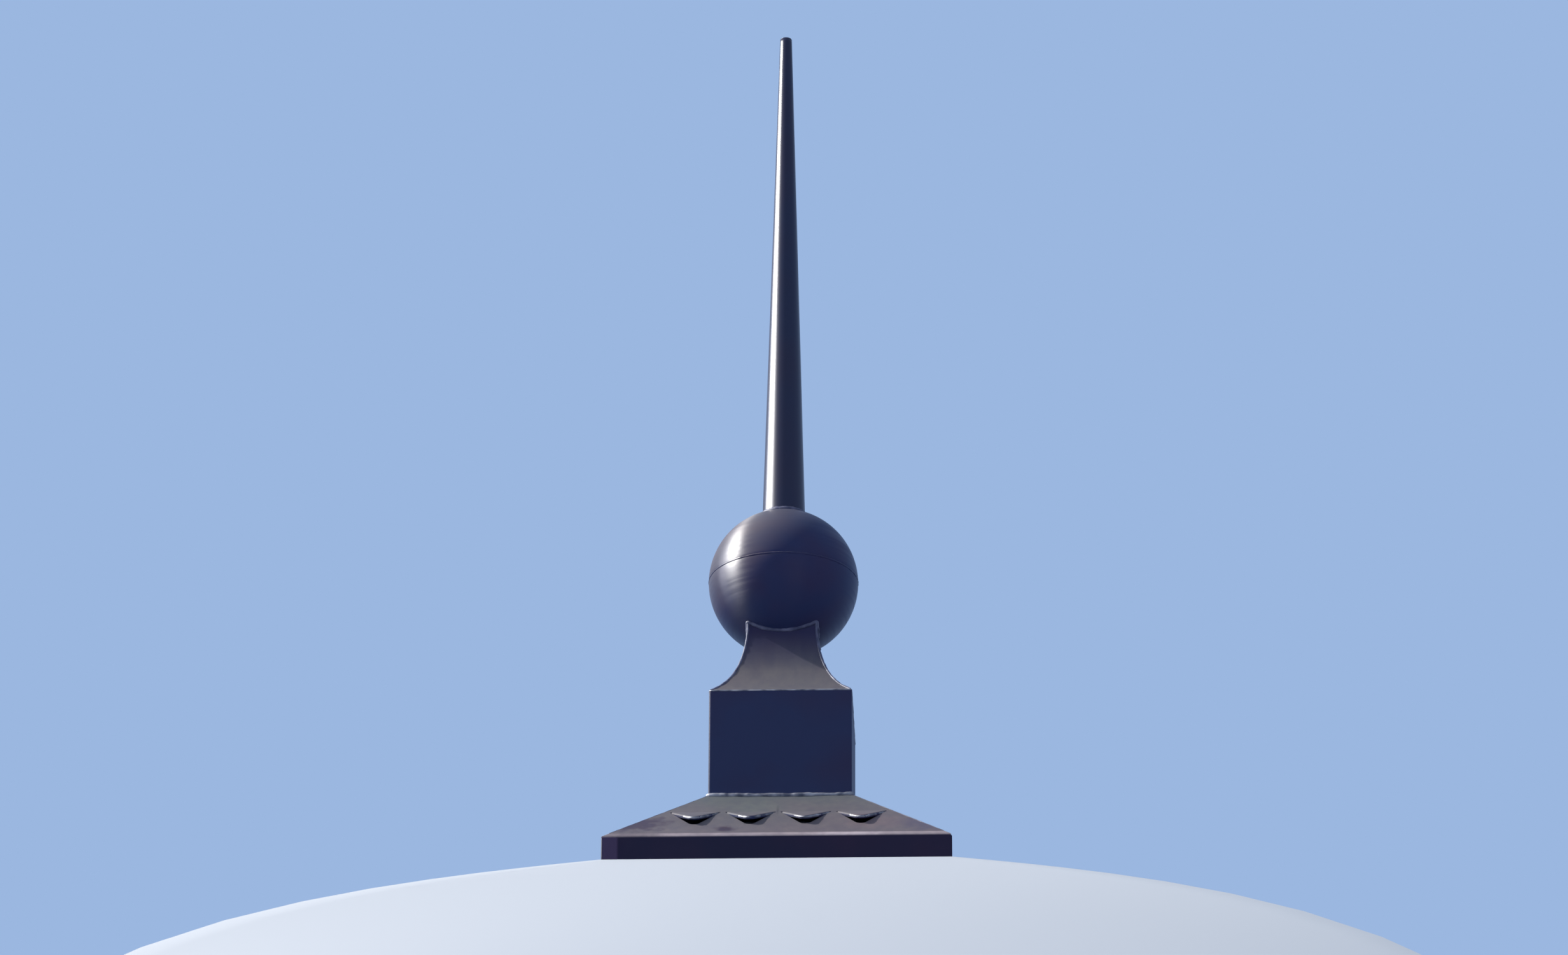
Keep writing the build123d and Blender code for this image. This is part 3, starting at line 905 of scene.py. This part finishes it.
# Lights: a small key from the left, a weak fill from the front and a pale room. The strip and edge
# lamps light nothing: they stand for the bright air beside the key, as the gloss shows it.
lightPlan = {
    "backdrop": "#9bb7e0",
    "room": "#dfe8fb",
    "roomLevel": 0.6,
    "keyFrom": (-0.79, -0.01, 0.613),
    "keyDistance": 4.5,
    "keySize": (0.1, 0.1),
    "keyPower": 330.0,
    "keyColour": "#fff3e4",
    "stripFrom": (-0.83, -0.03, 0.52),
    "stripDistance": 4.3,
    "stripSize": (1.4, 1.4),
    "stripPower": 1200.0,
    "stripColour": "#ffffff",
    "edgeFrom": (-0.97, 0.22, 0.36),
    "edgeDistance": 4.3,
    "edgeSize": (1.0, 2.2),
    "edgePower": 120.0,
    "edgeColour": "#eef3ff",
    "fillFrom": (0.35, -0.9, -0.1),
    "fillDistance": 4.5,
    "fillSize": (1.8, 1.8),
    "fillPower": 10.0,
    "fillColour": "#e4ecff",
}


def aimedLamp(part, plan, target):
    lamp = bpy.data.lights.new(part + "Lamp", "AREA")
    lamp.shape = "RECTANGLE"
    lamp.size, lamp.size_y = plan[part + "Size"]
    lamp.energy = plan[part + "Power"]
    lamp.color = hexColour(plan[part + "Colour"])[:3]
    holder = bpy.data.objects.new(part + "Lamp", lamp)
    scene.collection.objects.link(holder)
    direction = Vector(plan[part + "From"]).normalized()
    holder.location = Vector(target) + direction * plan[part + "Distance"]
    holder.rotation_euler = direction.to_track_quat("Z", "Y").to_euler()
    return holder


def makeLights(plan):
    centre = (0, 0, (cadLow.z + cadHigh.z) / 2)
    aimedLamp("key", plan, centre)
    aimedLamp("fill", plan, centre)
    for part in ("strip", "edge"):
        aimedLamp(part, plan, centre).visible_diffuse = False
    world = bpy.data.worlds.new("paleRoom")
    world.use_nodes = True
    scene.world = world
    tree = world.node_tree
    tree.nodes.clear()
    seen = addNode(tree, "ShaderNodeLightPath")
    either = addNode(tree, "ShaderNodeMath", {
        0: seen.outputs["Is Camera Ray"], 1: seen.outputs["Is Glossy Ray"]}, operation="MAXIMUM")
    shown = addNode(tree, "ShaderNodeMath", {
        0: either.outputs[0], 1: seen.outputs["Is Transmission Ray"]}, operation="MAXIMUM")
    room = addNode(tree, "ShaderNodeBackground", {
        "Color": hexColour(plan["room"]), "Strength": plan["roomLevel"]})
    backdrop = addNode(tree, "ShaderNodeBackground", {
        "Color": hexColour(plan["backdrop"]), "Strength": 1.0})
    both = addNode(tree, "ShaderNodeMixShader", {
        0: shown.outputs[0], 1: room.outputs[0], 2: backdrop.outputs[0]})
    addNode(tree, "ShaderNodeOutputWorld", {"Surface": both.outputs[0]})


makeLights(lightPlan)

# The camera: below the rim and a little to the right of the front face, as in the photograph
viewPoint = {
    "place": (0.251, -7.009, -2.775),
    "aim": (0.0, 0.0, 0.572),
    "lens": 149.0,
    "sensor": 36.0,
    "farthest": 60.0,
    "roll": math.radians(0.27),
}


def makeCamera(values):
    camera = bpy.data.objects.new("camera", bpy.data.cameras.new("camera"))
    scene.collection.objects.link(camera)
    camera.data.lens = values["lens"]
    camera.data.sensor_width = values["sensor"]
    camera.data.clip_end = values["farthest"]
    camera.location = values["place"]
    back = Vector(values["place"]) - Vector(values["aim"])
    camera.rotation_euler = back.to_track_quat("Z", "Y").to_euler()
    camera.rotation_euler.rotate_axis("Z", values["roll"])
    scene.camera = camera


makeCamera(viewPoint)
scene.view_settings.view_transform = "Standard"
print("stage, lights and camera are in place")
